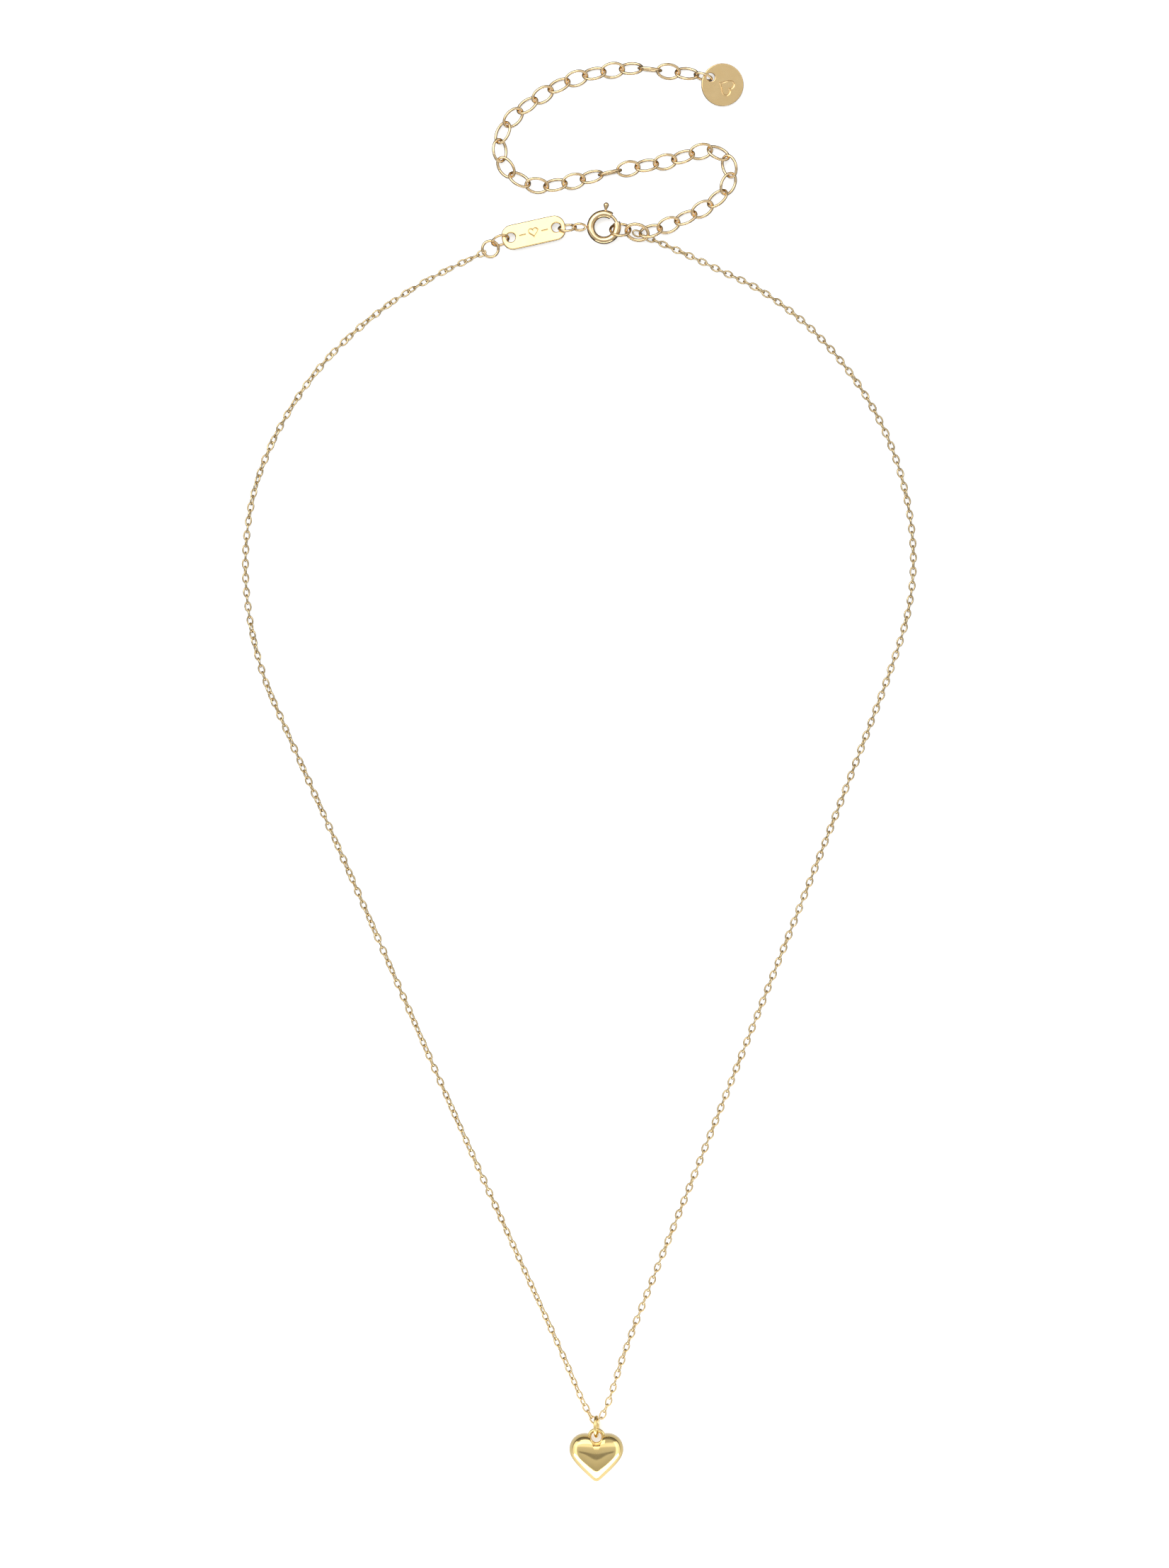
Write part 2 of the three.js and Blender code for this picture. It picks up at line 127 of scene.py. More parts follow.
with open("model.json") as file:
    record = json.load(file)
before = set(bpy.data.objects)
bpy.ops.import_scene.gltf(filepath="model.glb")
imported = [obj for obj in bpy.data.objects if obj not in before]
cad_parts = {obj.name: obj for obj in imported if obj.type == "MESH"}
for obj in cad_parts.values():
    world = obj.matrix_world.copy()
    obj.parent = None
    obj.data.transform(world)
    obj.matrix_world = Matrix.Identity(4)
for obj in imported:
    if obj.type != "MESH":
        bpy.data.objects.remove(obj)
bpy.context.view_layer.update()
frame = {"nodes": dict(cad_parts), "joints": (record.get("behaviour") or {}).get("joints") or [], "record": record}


# ---------------------------------------------------------------- materials
RUBBED_COLOUR = (1.0, 0.93, 0.78, 1)
SCRATCH_DEPTH = 1e-6


def gold(name, colour, deep, roughness, scratch, rubbed_edges=0.0):
    """Polished metal with a drifting colour, rubbed edges, uneven polish and hairline scratches."""
    material = bpy.data.materials.new(name)
    material.use_nodes = True
    nodes, links = material.node_tree.nodes, material.node_tree.links
    shader = nodes["Principled BSDF"]
    shader.inputs["Metallic"].default_value = 1.0
    place = nodes.new("ShaderNodeTexCoord")

    drift = nodes.new("ShaderNodeTexNoise")
    drift.inputs["Scale"].default_value = 420
    drift.inputs["Detail"].default_value = 4
    links.new(place.outputs["Object"], drift.inputs["Vector"])
    tone = nodes.new("ShaderNodeMix")
    tone.data_type = "RGBA"
    tone.inputs["A"].default_value = (*colour, 1)
    tone.inputs["B"].default_value = (*deep, 1)
    spread = nodes.new("ShaderNodeMapRange")
    spread.inputs["From Min"].default_value = 0.35
    spread.inputs["From Max"].default_value = 0.75
    links.new(drift.outputs["Fac"], spread.inputs["Value"])
    links.new(spread.outputs["Result"], tone.inputs["Factor"])

    edges = nodes.new("ShaderNodeNewGeometry")
    rubbed = nodes.new("ShaderNodeMapRange")
    rubbed.inputs["From Min"].default_value = 0.53
    rubbed.inputs["From Max"].default_value = 0.62
    rubbed.inputs["To Max"].default_value = rubbed_edges
    links.new(edges.outputs["Pointiness"], rubbed.inputs["Value"])
    worn = nodes.new("ShaderNodeMix")
    worn.data_type = "RGBA"
    worn.inputs["B"].default_value = RUBBED_COLOUR
    links.new(rubbed.outputs["Result"], worn.inputs["Factor"])
    links.new(tone.outputs["Result"], worn.inputs["A"])
    links.new(worn.outputs["Result"], shader.inputs["Base Color"])

    polish = nodes.new("ShaderNodeTexNoise")
    polish.inputs["Scale"].default_value = 1800
    polish.inputs["Detail"].default_value = 6
    links.new(place.outputs["Object"], polish.inputs["Vector"])
    sheen = nodes.new("ShaderNodeMapRange")
    sheen.inputs["To Min"].default_value = roughness * 0.6
    sheen.inputs["To Max"].default_value = roughness * 1.5
    links.new(polish.outputs["Fac"], sheen.inputs["Value"])
    links.new(sheen.outputs["Result"], shader.inputs["Roughness"])

    hairline = nodes.new("ShaderNodeTexNoise")
    hairline.inputs["Scale"].default_value = 2600
    hairline.inputs["Detail"].default_value = 3
    stretch = nodes.new("ShaderNodeMapping")
    stretch.inputs["Rotation"].default_value = (0.2, 0.3, 0.6)
    stretch.inputs["Scale"].default_value = (1, 0.07, 1)
    links.new(place.outputs["Object"], stretch.inputs["Vector"])
    links.new(stretch.outputs["Vector"], hairline.inputs["Vector"])
    bump = nodes.new("ShaderNodeBump")
    bump.inputs["Strength"].default_value = scratch
    bump.inputs["Distance"].default_value = SCRATCH_DEPTH
    links.new(hairline.outputs["Fac"], bump.inputs["Height"])
    links.new(bump.outputs["Normal"], shader.inputs["Normal"])
    return material


MATERIALS = {
    "chain_gold": gold("chain_gold", (0.81, 0.64, 0.37), (0.66, 0.49, 0.26), 0.15, 0.3, 0.3),
    "extender_gold": gold("extender_gold", (0.93, 0.71, 0.42), (0.85, 0.61, 0.33), 0.12, 0.3, 0.3),
    "clasp_gold": gold("clasp_gold", (0.9, 0.67, 0.38), (0.81, 0.57, 0.3), 0.11, 0.3, 0.3),
    "tag_gold": gold("tag_gold", (0.95, 0.7, 0.36), (0.91, 0.65, 0.31), 0.17, 0.35),
    "heart_gold": gold("heart_gold", (0.91, 0.7, 0.31), (0.88, 0.66, 0.27), 0.08, 0.15),
    "spring_steel": gold("spring_steel", (0.62, 0.61, 0.59), (0.45, 0.44, 0.42), 0.3, 0.4, 0.3),
}


# ---------------------------------------------------------------- pieces
def make_piece(name, points, faces, slot, body, replaces=()):
    """A smooth-shaded mesh piece from points in millimetres. It rides on a body and stands for CAD nodes."""
    mesh = bpy.data.meshes.new(name)
    mesh.from_pydata((np.asarray(points) * MM).tolist(), [], faces)
    mesh.validate()
    mesh.shade_smooth()
    return finish_piece(bpy.data.objects.new(name, mesh), slot, body, replaces)


def finish_piece(piece, slot, body, replaces):
    bpy.context.scene.collection.objects.link(piece)
    piece.data.materials.clear()
    piece.data.materials.append(MATERIALS[slot])
    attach(piece, body)
    if replaces:
        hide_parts(*replaces)
    return piece


def tube_faces(rings, sides, closed, first=0):
    """Quads over a tube of point rings; closed joins the last ring to the first."""
    faces = []
    for ring in range(rings if closed else rings - 1):
        start, following = first + ring * sides, first + (ring + 1) % rings * sides
        for side in range(sides):
            beside = (side + 1) % sides
            faces.append((start + side, start + beside, following + beside, following + side))
    return faces


# A wire ring's seam: how far each of its stations is from its middle, in radians, and their share of the
# wire's radius there. The ring's other stations keep clear of it.
SEAM_TURNS = np.array([-0.045, -0.02, 0, 0.02, 0.045])
SEAM_SHARES = np.array([1, 0.97, 0.84, 0.97, 1])
SEAM_CLEARANCE = 0.08


def oval(middle, long_axis, wide_axis, length, width, wire, sections, sides, seam=None):
    """Points of an oval wire ring. A seam, in radians round it, is a notch where the wire's ends meet."""
    turns = np.linspace(0, 2 * np.pi, sections, endpoint=False)
    radius = np.full(sections, wire / 2)
    if seam is not None:
        near = seam + SEAM_TURNS
        clear = np.abs((turns - seam + np.pi) % (2 * np.pi) - np.pi) > SEAM_CLEARANCE
        turns = np.concatenate([turns[clear], near % (2 * np.pi)])
        order = np.argsort(turns)
        turns = turns[order]
        radius = np.concatenate([radius[clear], wire / 2 * SEAM_SHARES])[order]
    normal = np.cross(long_axis, wide_axis)
    half_length, half_width = (length - wire) / 2, (width - wire) / 2
    cos, sin = np.cos(turns)[:, None], np.sin(turns)[:, None]
    line = middle + half_length * cos * long_axis + half_width * sin * wide_axis
    outwards = half_width * cos * long_axis + half_length * sin * wide_axis
    outwards /= np.linalg.norm(outwards, axis=1)[:, None]
    around = np.linspace(0, 2 * np.pi, sides, endpoint=False)
    spokes = outwards[:, None] * np.cos(around)[None, :, None] + normal * np.sin(around)[None, :, None]
    points = line[:, None] + radius[:, None, None] * spokes
    return points.reshape(-1, 3), len(turns)


def cad_points(node):
    return np.array([v.co for v in frame["nodes"][node].data.vertices]) / MM


def cad_frame(node):
    """Middle, axes and sizes of a CAD ring or plate from its own points: the long, short and thin way."""
    points = cad_points(node)
    axes = np.linalg.svd(points - points.mean(0), full_matrices=False)[2]
    if axes[2][2] < 0:
        axes[2] = -axes[2]
    axes[1] = np.cross(axes[2], axes[0])
    along = (points - points.mean(0)) @ axes.T
    middle = points.mean(0) + (along.max(0) + along.min(0)) / 2 @ axes
    return middle, axes, along.max(0) - along.min(0)


BODY_OF = {node: body for body, nodes in frame["record"]["behaviour"]["bodies"].items() for node in nodes}


def wire_ring(node, slot, wire, seam, sections=64, sides=16):
    middle, axes, size = cad_frame(node)
    points, rings = oval(middle, axes[0], axes[1], size[0], size[1], wire, sections, sides, seam)
    return make_piece(f"{node}_wire", points, tube_faces(rings, sides, True), slot, BODY_OF[node], [node])


# ---------------------------------------------------------------- fine chain
def smooth_route(points, per_span=60):
    """A centripetal Catmull-Rom curve through the points."""
    points = [np.array(p, float) for p in points]
    points = [2 * points[0] - points[1], *points, 2 * points[-1] - points[-2]]
    fine = []
    for p0, p1, p2, p3 in zip(points, points[1:], points[2:], points[3:]):
        knots = np.cumsum([0] + [np.linalg.norm(b - a) ** 0.5 for a, b in ((p0, p1), (p1, p2), (p2, p3))])
        t0, t1, t2, t3 = knots
        for t in np.linspace(t1, t2, per_span, endpoint=False):
            a1 = p0 * (t1 - t) / (t1 - t0) + p1 * (t - t0) / (t1 - t0)
            a2 = p1 * (t2 - t) / (t2 - t1) + p2 * (t - t1) / (t2 - t1)
            a3 = p2 * (t3 - t) / (t3 - t2) + p3 * (t - t2) / (t3 - t2)
            b1 = a1 * (t2 - t) / (t2 - t0) + a2 * (t - t0) / (t2 - t0)
            b2 = a2 * (t3 - t) / (t3 - t1) + a3 * (t - t1) / (t3 - t1)
            fine.append(b1 * (t2 - t) / (t2 - t1) + b2 * (t - t1) / (t2 - t1))
    return np.array([*fine, points[-2]])


def walk(route, stride):
    """Points on the route one stride apart, as the crow flies: where neighbouring links touch."""
    steps = [route[0]]
    for before, after in zip(route, route[1:]):
        while np.linalg.norm(after - steps[-1]) >= stride:
            low, high = 0.0, 1.0
            for _ in range(20):
                half = (low + high) / 2
                if np.linalg.norm(before + half * (after - before) - steps[-1]) < stride:
                    low = half
                else:
                    high = half
            steps.append(before + high * (after - before))
    return np.array(steps)


def chain_roll(share, number):
    """How far link number has rolled over. The twist from link to link drifts along the chain."""
    twist = 75 + 15 * math.tanh((share - 0.18) * 9)
    return math.radians(twist * number + 9 * math.sin(number * 0.37) + 8 * math.sin(number * 2.1))


def fine_chain():
    """The cable chain in three pieces: it turns at its left elbow and at the pendant ring."""
    touches = walk(smooth_route(CHAIN_ROUTE), CHAIN_PITCH)
    middles = (touches[:-1] + touches[1:]) / 2
    elbow = int(np.argmin(np.linalg.norm(touches[:, :2] - CHAIN_ELBOW, axis=1)))
    heart_link = int(np.argmin(np.linalg.norm(middles - cad_frame("centre_link")[0], axis=1)))
    chain_stretch("cable_chain_left_upper", touches, 0, elbow, "left_upper", ["chain_left_upper"])
    chain_stretch(
        "cable_chain_left_lower", touches, elbow, heart_link + 1, "left_lower",
        ["chain_left_lower", "centre_link"],
    )
    chain_stretch(
        "cable_chain_right", touches, heart_link + 1, len(touches) - 1, "right_half",
        ["chain_right_upper", "chain_right_lower"],
    )


def chain_stretch(name, touches, first, last, body, nodes):
    """The links between two touching points of the chain, as one piece."""
    points, faces = [], []
    for number in range(first, last):
        start, end = touches[number], touches[number + 1]
        along = (end - start) / np.linalg.norm(end - start)
        across = np.cross((0, 0, 1), along)
        across /= np.linalg.norm(across)
        roll = chain_roll(number / len(touches), number)
        wide = math.cos(roll) * across + math.sin(roll) * np.cross(along, across)
        middle = (start + end) / 2
        ring, rings = oval(middle, along, wide, *CHAIN_LINK.values(), CHAIN_SECTIONS, CHAIN_SIDES)
        faces += tube_faces(rings, CHAIN_SIDES, True, len(points) * len(ring))
        points.append(ring)
    chain = make_piece(name, np.concatenate(points), faces, "chain_gold", body, nodes)


# ---------------------------------------------------------------- plates
def rounded_rectangle(length, width, corner, steps=14):
    points = []
    for quarter, (x, y) in enumerate([(1, 1), (-1, 1), (-1, -1), (1, -1)]):
        for turn in np.linspace(quarter * np.pi / 2, (quarter + 1) * np.pi / 2, steps):
            points.append((
                x * (length / 2 - corner) + corner * math.cos(turn),
                y * (width / 2 - corner) + corner * math.sin(turn),
            ))
    return points


def bezier(p0, p1, p2, p3, steps):
    """Points on a cubic curve, without its end point."""
    t = np.linspace(0, 1, steps, endpoint=False)[:, None]
    p0, p1, p2, p3 = (np.array(p, float) for p in (p0, p1, p2, p3))
    return (1 - t) ** 3 * p0 + 3 * (1 - t) ** 2 * t * p1 + 3 * (1 - t) * t**2 * p2 + t**3 * p3


def circle(x, radius, steps=40):
    turns = np.linspace(0, 2 * np.pi, steps, endpoint=False)
    return [(x + radius * math.cos(t), radius * math.sin(t)) for t in turns]


def small_heart(size, x=0, y=0, steps=40):
    """A plain heart outline for engraving, its tip towards -y."""
    turns = np.linspace(0, 2 * np.pi, steps, endpoint=False)
    across = 16 * np.sin(turns) ** 3
    up = 13 * np.cos(turns) - 5 * np.cos(2 * turns) - 2 * np.cos(3 * turns) - np.cos(4 * turns)
    return [(x + size / 32 * a, y + size / 32 * u) for a, u in zip(across, up)]


def flat_curve(name, outlines, depth, bevel):
    """A flat plate with rounded-over edges: the first outline is its rim and the others are holes."""
    curve = bpy.data.curves.new(name, "CURVE")
    curve.dimensions = "2D"
    curve.fill_mode = "BOTH"
    curve.extrude = (depth / 2 - bevel) * MM
    curve.bevel_depth = bevel * MM
    curve.bevel_resolution = 4
    curve.offset = -bevel * MM
    for outline in outlines:
        spline = curve.splines.new("POLY")
        spline.points.add(len(outline) - 1)
        for point, (x, y) in zip(spline.points, outline):
            point.co = (x * MM, y * MM, 0, 1)
        spline.use_cyclic_u = True
    return mesh_of(curve)


def groove_tool(lines, radius, height):
    """A bundle of thin round rods along closed or open lines, to cut engraved grooves with."""
    curve = bpy.data.curves.new("groove", "CURVE")
    curve.dimensions = "3D"
    curve.bevel_depth = radius * MM
    curve.bevel_resolution = 2
    curve.use_fill_caps = True
    for line, cyclic in lines:
        spline = curve.splines.new("POLY")
        spline.points.add(len(line) - 1)
        for point, (x, y) in zip(spline.points, line):
            point.co = (x * MM, y * MM, height * MM, 1)
        spline.use_cyclic_u = cyclic
    return mesh_of(curve)


def mesh_of(curve):
    """The mesh that a curve draws. The curve itself is removed."""
    holder = bpy.data.objects.new(curve.name, curve)
    bpy.context.scene.collection.objects.link(holder)
    bpy.context.view_layer.update()
    mesh = bpy.data.meshes.new_from_object(holder.evaluated_get(bpy.context.evaluated_depsgraph_get()))
    bpy.data.objects.remove(holder)
    bpy.data.curves.remove(curve)
    return mesh


def modified(mesh, *modifiers):
    """The mesh after modifiers, each given as (type, settings)."""
    holder = bpy.data.objects.new("working", mesh)
    bpy.context.scene.collection.objects.link(holder)
    for kind, settings in modifiers:
        modifier = holder.modifiers.new(kind.title(), kind)
        for key, value in settings.items():
            setattr(modifier, key, value)
    bpy.context.view_layer.update()
    result = bpy.data.meshes.new_from_object(holder.evaluated_get(bpy.context.evaluated_depsgraph_get()))
    bpy.data.objects.remove(holder)
    return result


def cut(mesh, tool_mesh):
    """The mesh with the tool's shape taken away. The cut is made a thousand times larger, to be exact."""
    for shape in (mesh, tool_mesh):
        shape.transform(Matrix.Scale(1 / MM, 4))
    tool = bpy.data.objects.new("tool", tool_mesh)
    bpy.context.scene.collection.objects.link(tool)
    taken = {"operation": "DIFFERENCE", "object": tool, "solver": "EXACT", "use_self": True}
    result = modified(mesh, ("WELD", {"merge_threshold": 2e-4}), ("BOOLEAN", taken))
    bpy.data.objects.remove(tool)
    result.transform(Matrix.Scale(MM, 4))
    return result


def plate(name, node, outlines, thickness, bevel, grooves, to_place):
    """A bevelled plate with engraved grooves in its upper face, moved to its place."""
    mesh = flat_curve(name, outlines, thickness, bevel)
    mesh = cut(mesh, groove_tool(grooves, GROOVE_RADIUS, thickness / 2 + GROOVE_LIFT))
    mesh.shade_smooth()
    mesh.set_sharp_from_angle(angle=math.radians(35))
    for face in mesh.polygons:
        face.use_smooth = abs(face.normal.z) < 0.995
    mesh.transform(to_place)
    mesh.name = name
    return finish_piece(bpy.data.objects.new(name, mesh), "tag_gold", BODY_OF[node], [node])


def placed(middle, long_axis, normal):
    """The matrix, in metres, that stands a piece at a place with these axes."""
    x, z = Vector(long_axis).normalized(), Vector(normal).normalized()
    y = z.cross(x)
    turn = Matrix((x, y, z)).transposed().to_4x4()
    return Matrix.Translation(Vector(middle) * MM) @ turn


def bar_tag():
    middle, axes, _ = cad_frame("bar_tag")
    long_axis = axes[0] * np.sign(axes[0][0])
    half = BAR["hole_spacing"] / 2
    outlines = [
        rounded_rectangle(BAR["length"], BAR["width"], BAR["corner"]),
        circle(-half, BAR["hole"]),
        circle(half, BAR["hole"]),
    ]
    grooves = [(small_heart(BAR_HEART, 0, 0.1), True)]
    for side in (-1, 1):
        grooves.append(([(side * end, 0) for end in BAR_RULE], False))
    to_place = placed(middle, long_axis, axes[2])
    plate("bar_tag_plate", "bar_tag", outlines, BAR["thickness"], BAR["bevel"], grooves, to_place)


def end_tag():
    hole = next(j for j in frame["joints"] if j["name"] == "end_tag_swing")["pos_m"]
    hole = np.array(hole) / MM
    middle, axes, _ = cad_frame("end_tag")
    along = middle - hole
    along -= (along @ axes[2]) * axes[2]
    along /= np.linalg.norm(along)
    hole += (middle - hole) @ axes[2] * axes[2]
    middle = hole + TAG["hole_to_middle"] * along
    outlines = [circle(0, TAG["radius"], 120), circle(-TAG["hole_to_middle"], TAG["hole"])]
    grooves = [([(y + TAG_HEART_SHIFT, -x) for x, y in small_heart(TAG_HEART)], True)]
    to_place = placed(middle, along, axes[2])
    plate("end_tag_plate", "end_tag", outlines, TAG["thickness"], TAG["bevel"], grooves, to_place)


# ---------------------------------------------------------------- heart
def heart_outline(steps=26):
    """The heart's outline round from its softened tip at the origin, with the eye's recess on +y."""
    right = np.concatenate([
        bezier((0, 0), (3.0, 2.75), (4.32, 4.0), (4.32, 5.4), steps),
        bezier((4.32, 5.4), (4.32, 6.9), (3.2, 7.95), (1.8, 7.95), steps),
        bezier((1.8, 7.95), (0.9, 7.95), (0.3, 7.4), (0, 6.5), steps),
        [(0, 6.5)],
    ])
    left = right[-2:0:-1] * (-1, 1)
    outline = np.concatenate([right, left])
    from_eye = outline - (0, HEART_EYE_UP)
    reach = np.linalg.norm(from_eye, axis=1)[:, None]
    outline = np.where(reach < EYE_RECESS, (0, HEART_EYE_UP) + from_eye * EYE_RECESS / reach, outline)
    near_tip = np.clip(0.9 - outline[:, 1], 0, 1)[:, None]
    for _ in range(4):
        mean = (np.roll(outline, 1, 0) + np.roll(outline, -1, 0)) / 2
        outline = outline + near_tip * 0.5 * (mean - outline)
    return outline


def dome(outline, base, height, rings=60):
    """A puffed shell over the outline with a rolled rim, closed by a flat floor at its base."""
    middle = np.array((0, HEART_MIDDLE))
    spokes = outline - middle
    angle = np.arctan2(spokes[:, 1], spokes[:, 0])
    soft = 3.9 * np.stack([np.cos(angle), 0.9 * np.sin(angle) + 0.3 * np.cos(angle) ** 2], 1)
    points = []
    for share in np.cos(np.linspace(0, 1, rings, endpoint=False) ** 1.6 * np.pi / 2):
        kept = share**1.3
        around = middle + share * (kept * spokes + (1 - kept) * soft)
        lift = height * (1 - share**2.6) ** 0.3
        points += [(x, y, base + lift) for x, y in around]
    count = len(outline)
    faces = tube_faces(rings, count, False)
    top = len(points)
    points.append((0, HEART_MIDDLE, base + height))
    last = (rings - 1) * count
    faces += [(last + i, last + (i + 1) % count, top) for i in range(count)]
    faces.append(tuple(reversed(range(count))))
    return points, faces


def raw_mesh(name, points, faces):
    mesh = bpy.data.meshes.new(name)
    mesh.from_pydata((np.asarray(points) * MM).tolist(), [], faces)
    mesh.validate()
    return mesh


def heart():
    outline = heart_outline()
    to_place = Matrix.Translation((HEART_TIP[0] * MM, HEART_TIP[1] * MM, 0))
    front = raw_mesh("heart_front", *dome(outline, HEART_BACK + 0.03, HEART_HEIGHT - HEART_BACK - 0.03))
    back = flat_curve("heart_back", [outline], HEART_BACK, 0.12)
    back.transform(Matrix.Translation((0, 0, HEART_BACK / 2 * MM)))
    for name, node, mesh in (
        ("heart_front", "heart_front_shell", front),
        ("heart_back", "heart_back_plate", back),
    ):
        mesh.transform(to_place)
        mesh.shade_smooth()
        mesh.set_sharp_from_angle(angle=math.radians(40))
        mesh.name = name
        finish_piece(bpy.data.objects.new(name, mesh), "heart_gold", "heart", [node])


# ---------------------------------------------------------------- clasp
def arc_tube(profile, sides, closed_ends):
    """A tube round Z from (degrees, radius) stations on the clasp's circle."""
    around = np.linspace(0, 2 * np.pi, sides, endpoint=False)
    points = []
    for degrees, radius in profile:
        turn = math.radians(degrees)
        outwards = np.array((math.cos(turn), math.sin(turn), 0))
        for a in around:
            points.append(outwards * (CLASP_RADIUS + radius * math.cos(a)) + (0, 0, radius * math.sin(a)))
    faces = tube_faces(len(profile), sides, not closed_ends)
    if closed_ends:
        faces.append(tuple(reversed(range(sides))))
        faces.append(tuple(range(len(points) - sides, len(points))))
    return points, faces


def slot_tool():
    """The curved box that cuts the lever's slot out of the clasp's outer wall."""
    points = []
    turns = np.radians(np.linspace(*LEVER_SLOT, 24))
    near, far = SLOT_REACH
    high = SLOT_HALF_HEIGHT
    for turn in turns:
        for out, up in ((near, -high), (far, -high), (far, high), (near, high)):
            reach = CLASP_RADIUS + out
            points.append((reach * math.cos(turn), reach * math.sin(turn), up))
    faces = tube_faces(len(turns), 4, False) + [(3, 2, 1, 0)]
    faces.append(tuple(range(len(points) - 4, len(points))))
    return raw_mesh("slot", points, faces)


def turned(profile, sides=28):
    """A solid of revolution round y from (radius, height) stations that start and end on the axis."""
    around = np.linspace(0, 2 * np.pi, sides, endpoint=False)
    points = [(r * math.cos(a), h, -r * math.sin(a)) for r, h in profile[1:-1] for a in around]
    rings = len(profile) - 2
    faces = tube_faces(rings, sides, False)
    foot, head = len(points), len(points) + 1
    points += [(0, profile[0][1], 0), (0, profile[-1][1], 0)]
    last = (rings - 1) * sides
    for i in range(sides):
        faces.append((foot, (i + 1) % sides, i))
        faces.append((head, last + i, last + (i + 1) % sides))
    return points, faces


def clasp():
    centre = next(j for j in frame["joints"] if j["name"] == "gate_swing")["pos_m"]
    to_place = Matrix.Translation(centre)
    gap_low, gap_high = CLASP_GAP
    outer = [(gap_high, CLASP_TUBE - 0.08), (gap_high + 0.5, CLASP_TUBE - 0.02)]
    outer += [(d, CLASP_TUBE) for d in np.linspace(gap_high + CLASP_LIP, 360 + gap_low - CLASP_LIP, 90)]
    outer += [(360 + gap_low - 0.5, CLASP_TUBE - 0.02), (360 + gap_low, CLASP_TUBE - 0.08)]
    bore = [(d, CLASP_BORE) for d in np.linspace(360 + gap_low, gap_high, 60)]
    tube = cut(raw_mesh("clasp_ring", *arc_tube(outer + bore, 32, False)), slot_tool())

    gate_low, gate_high = GATE_ARC
    gate = [(gate_low, 0.1), (gate_low + 1.5, 0.2)]
    gate += [(d, GATE_RADIUS) for d in np.linspace(gate_low + 4, gate_high, 40)]
    gate_mesh = raw_mesh("clasp_gate_wire", *arc_tube(gate, 20, True))

    knob = [(0, 0.31), (0.15, 0.31), (0.15, 0.62), (0.2, 0.75), (0.27, 0.95), (0.36, 1.1)]
    knob += [(0.43 * math.cos(t), 1.4 + 0.43 * math.sin(t)) for t in np.linspace(-0.6, np.pi / 2 - 0.1, 10)]
    knob.append((0, 1.83))
    lever = raw_mesh("clasp_lever_knob", *turned(knob))
    turn = Matrix.Rotation(math.radians(LEVER_ANGLE - 90), 4, "Z")
    lever.transform(turn @ Matrix.Translation((0, CLASP_RADIUS * MM, 0)))

    for name, node, mesh in (
        ("clasp_ring", "clasp_tube", tube),
        ("clasp_gate_wire", "clasp_gate", gate_mesh),
        ("clasp_lever_knob", "clasp_lever", lever),
    ):
        mesh.transform(to_place)
        mesh.shade_smooth()
        mesh.set_sharp_from_angle(angle=math.radians(38))
        mesh.name = name
        finish_piece(bpy.data.objects.new(name, mesh), "clasp_gold", BODY_OF[node], [node])


# ---------------------------------------------------------------- all the pieces
fine_chain()
for cad_node in sorted(frame["nodes"]):
    if cad_node.startswith("extender_link"):
        number = int(cad_node[-2:])
        wire_ring(cad_node, "extender_gold", WIRE["extender_link"], seam=1.2 + 0.7 * math.sin(number * 1.9))
for cad_node, ring_slot, seam_at in (
    ("left_jump_ring", "clasp_gold", 3.3),
    ("bar_ring_left", "clasp_gold", 1.3),
    ("bar_ring_right", "clasp_gold", 4.4),
    ("clasp_eye", "clasp_gold", None),
    ("hook_link", "clasp_gold", 1.0),
    ("connector_link", "clasp_gold", 4.9),
    ("pendant_ring", "heart_gold", 1.57),
    ("heart_eye", "heart_gold", None),
    ("tag_ring", "extender_gold", 1.6),
):
    wire_ring(cad_node, ring_slot, WIRE[cad_node], seam_at)
bar_tag()
end_tag()
heart()
clasp()
spring = frame["nodes"]["clasp_spring"]
spring.data.materials.clear()
spring.data.materials.append(MATERIALS["spring_steel"])


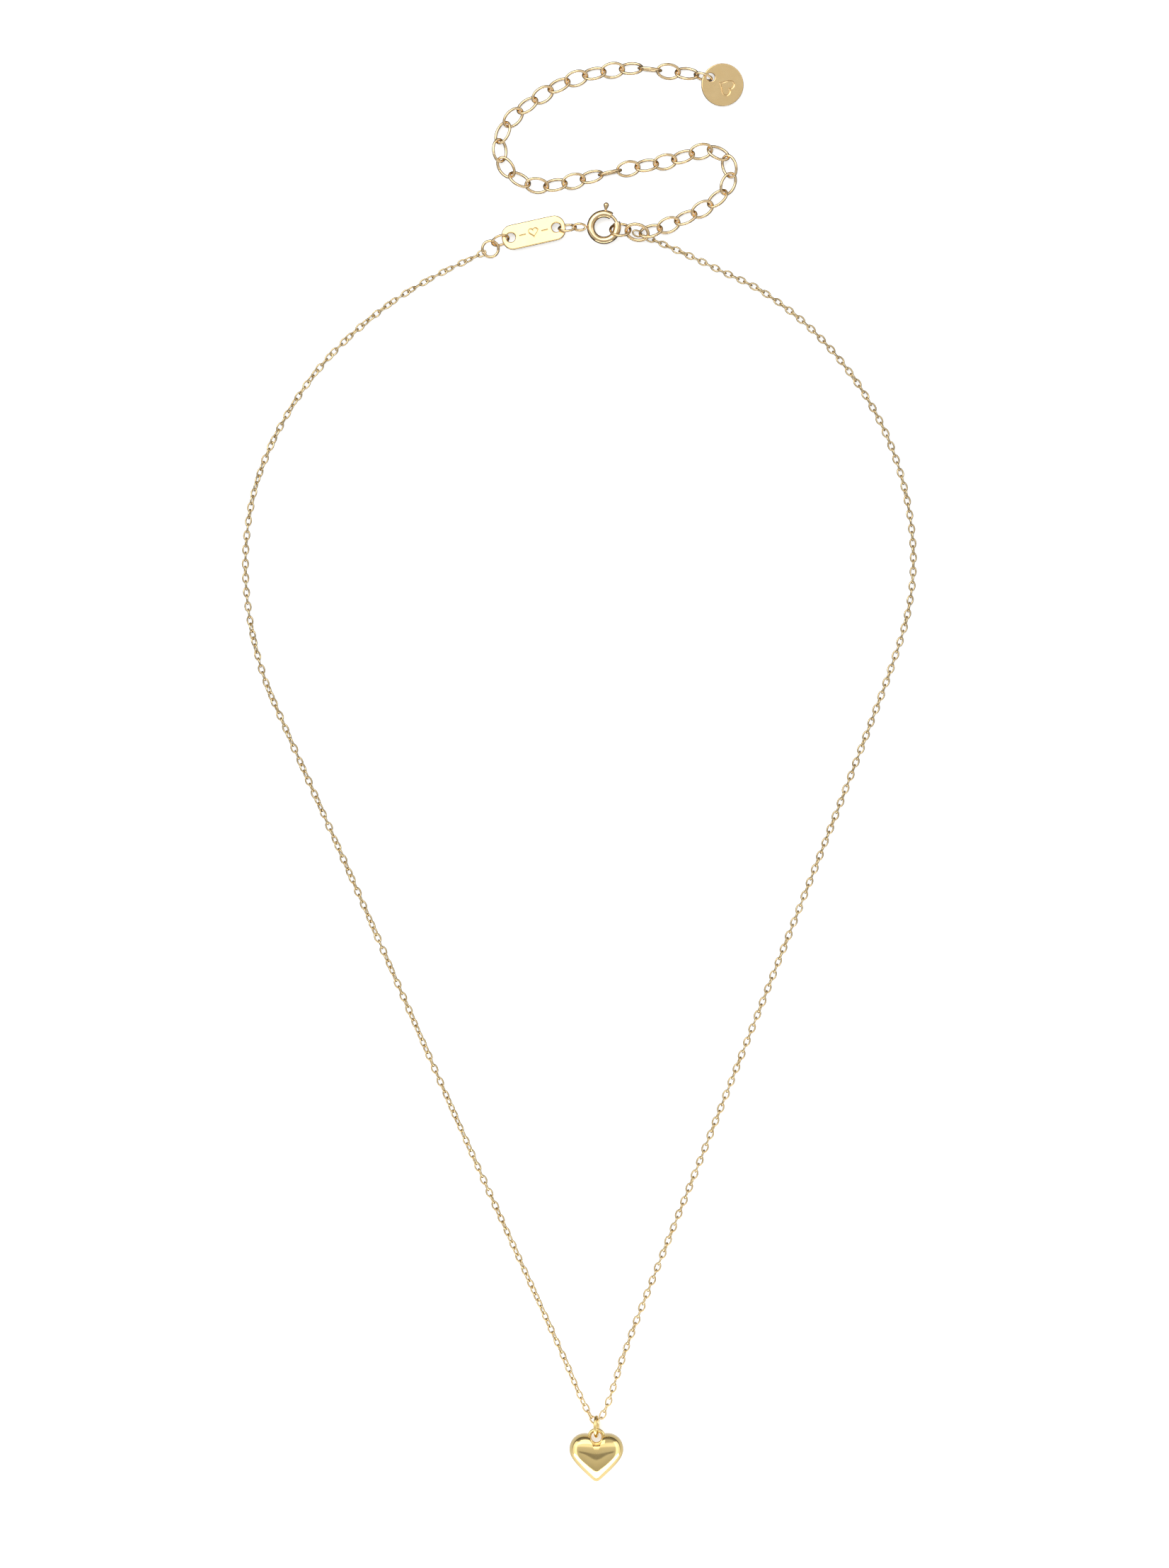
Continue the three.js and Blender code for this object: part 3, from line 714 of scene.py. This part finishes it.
# ---------------------------------------------------------------- floor, light and camera
def floor():
    """Pale paper. Shiny things mirror it dimmer than it looks, so that their edges stand out on it."""
    half = FLOOR_HALF_SIDE
    points = [(x, y, -FLOOR_DROP) for x, y in ((-half, -half), (half, -half), (half, half), (-half, half))]
    mesh = raw_mesh("floor", points, [(0, 1, 2, 3)])
    paper = bpy.data.materials.new("floor_paper")
    paper.use_nodes = True
    nodes, links = paper.node_tree.nodes, paper.node_tree.links
    shader = nodes["Principled BSDF"]
    shader.inputs["Base Color"].default_value = (0.93, 0.93, 0.92, 1)
    shader.inputs["Roughness"].default_value = 0.9
    shader.inputs["Specular IOR Level"].default_value = 0.1
    shader.inputs["Emission Color"].default_value = (1, 1, 0.99, 1)
    shader.inputs["Emission Strength"].default_value = FLOOR_GLOW
    place = nodes.new("ShaderNodeTexCoord")
    split = nodes.new("ShaderNodeSeparateXYZ")
    links.new(place.outputs["Object"], split.inputs["Vector"])
    past_chain = nodes.new("ShaderNodeMapRange")
    past_chain.inputs["From Min"].default_value = MIRRORED_FROM
    past_chain.inputs["From Max"].default_value = MIRRORED_TO
    links.new(split.outputs["Y"], past_chain.inputs["Value"])
    level = ramp_of(nodes, MIRRORED_FLOOR)
    links.new(past_chain.outputs["Result"], level.inputs["Fac"])
    dim = nodes.new("ShaderNodeEmission")
    dim.inputs["Strength"].default_value = MIRRORED_STRENGTH
    links.new(level.outputs["Color"], dim.inputs["Color"])
    ray = nodes.new("ShaderNodeLightPath")
    either = nodes.new("ShaderNodeMixShader")
    links.new(ray.outputs["Is Glossy Ray"], either.inputs["Fac"])
    links.new(shader.outputs["BSDF"], either.inputs[1])
    links.new(dim.outputs["Emission"], either.inputs[2])
    links.new(either.outputs["Shader"], nodes["Material Output"].inputs["Surface"])
    mesh.materials.append(paper)
    piece = bpy.data.objects.new("floor", mesh)
    bpy.context.scene.collection.objects.link(piece)


def softbox(name, place, size, brightness, target, mirrored=True):
    """A soft rectangular light facing its target. Brightness is what a mirror sees in it: 1 is white."""
    light = bpy.data.lights.new(name, "AREA")
    light.shape = "RECTANGLE"
    light.size, light.size_y = size
    light.energy = brightness * math.pi * size[0] * size[1]
    holder = bpy.data.objects.new(name, light)
    holder.location = place
    holder.rotation_euler = (Vector(target) - Vector(place)).to_track_quat("-Z", "Y").to_euler()
    holder.visible_camera = False
    holder.visible_glossy = mirrored
    bpy.context.scene.collection.objects.link(holder)


def ramp_of(nodes, stops):
    """A colour ramp of greys from (position, level) pairs."""
    ramp = nodes.new("ShaderNodeValToRGB")
    elements = ramp.color_ramp.elements
    for element, (position, level) in zip(elements, (stops[0], stops[-1])):
        element.position = position
        element.color = (level, level, level, 1)
    for position, level in stops[1:-1]:
        element = elements.new(position)
        element.color = (level, level, level, 1)
    return ramp


def surroundings():
    """A studio room seen in the gold: the brighter of its two ramps across, dimmed by the ramp of height."""
    world = bpy.data.worlds.new("studio")
    bpy.context.scene.world = world
    world.use_nodes = True
    nodes, links = world.node_tree.nodes, world.node_tree.links
    place = nodes.new("ShaderNodeTexCoord")
    split = nodes.new("ShaderNodeSeparateXYZ")
    links.new(place.outputs["Generated"], split.inputs["Vector"])
    half = nodes.new("ShaderNodeMapRange")
    half.inputs["From Min"].default_value = -1
    links.new(split.outputs["Y"], half.inputs["Value"])
    along = ramp_of(nodes, ROOM_FRONT_TO_BACK)
    links.new(half.outputs["Result"], along.inputs["Fac"])
    sideways = nodes.new("ShaderNodeMath")
    sideways.operation = "ABSOLUTE"
    links.new(split.outputs["X"], sideways.inputs[0])
    beside = ramp_of(nodes, ROOM_TO_THE_SIDES)
    links.new(sideways.outputs[0], beside.inputs["Fac"])
    room = nodes.new("ShaderNodeMix")
    room.data_type = "RGBA"
    room.blend_type = "LIGHTEN"
    room.inputs["Factor"].default_value = 1
    links.new(along.outputs["Color"], room.inputs["A"])
    links.new(beside.outputs["Color"], room.inputs["B"])
    up = ramp_of(nodes, ROOM_BY_HEIGHT)
    links.new(split.outputs["Z"], up.inputs["Fac"])
    low = nodes.new("ShaderNodeMix")
    low.data_type = "RGBA"
    low.blend_type = "MULTIPLY"
    low.inputs["Factor"].default_value = 1
    links.new(room.outputs["Result"], low.inputs["A"])
    links.new(up.outputs["Color"], low.inputs["B"])
    links.new(low.outputs["Result"], nodes["Background"].inputs["Color"])
    nodes["Background"].inputs["Strength"].default_value = ROOM_STRENGTH


def camera():
    data = bpy.data.cameras.new("camera")
    data.lens = LENS
    data.sensor_width = SENSOR_WIDTH
    data.clip_start = 0.01
    distance = VIEW_HEIGHT * MM * LENS / SENSOR_WIDTH
    holder = bpy.data.objects.new("camera", data)
    holder.location = (VIEW_MIDDLE[0] * MM, VIEW_MIDDLE[1] * MM, distance)
    bpy.context.scene.collection.objects.link(holder)
    bpy.context.scene.camera = holder


floor()
surroundings()
softbox("over_the_clasp", (-0.175, 0.285, 0.35), (0.45, 0.43), 1.45, (-0.175, 0.285, 0))
softbox("front", (0, -0.62, 0.3), (0.7, 0.3), 1.5, (0, -0.1, 0), mirrored=False)
softbox("top_left", (-0.4, 0.35, 0.6), (0.5, 0.5), 1.0, (0, 0, 0), mirrored=False)
heart_at = (HEART_TIP[0] * MM, (HEART_TIP[1] + HEART_MIDDLE) * MM, 0)
softbox("below_the_heart", (heart_at[0], heart_at[1] - 0.08, 0.042), (0.4, 0.07), 3.0, heart_at)
for side in (-1, 1):
    beside = (heart_at[0] + side * 0.08, heart_at[1] + 0.005, 0.034)
    softbox(f"beside_the_heart_{side + 1}", beside, (0.12, 0.055), 0.8, heart_at)
camera()
bpy.context.scene.view_settings.view_transform = "Standard"
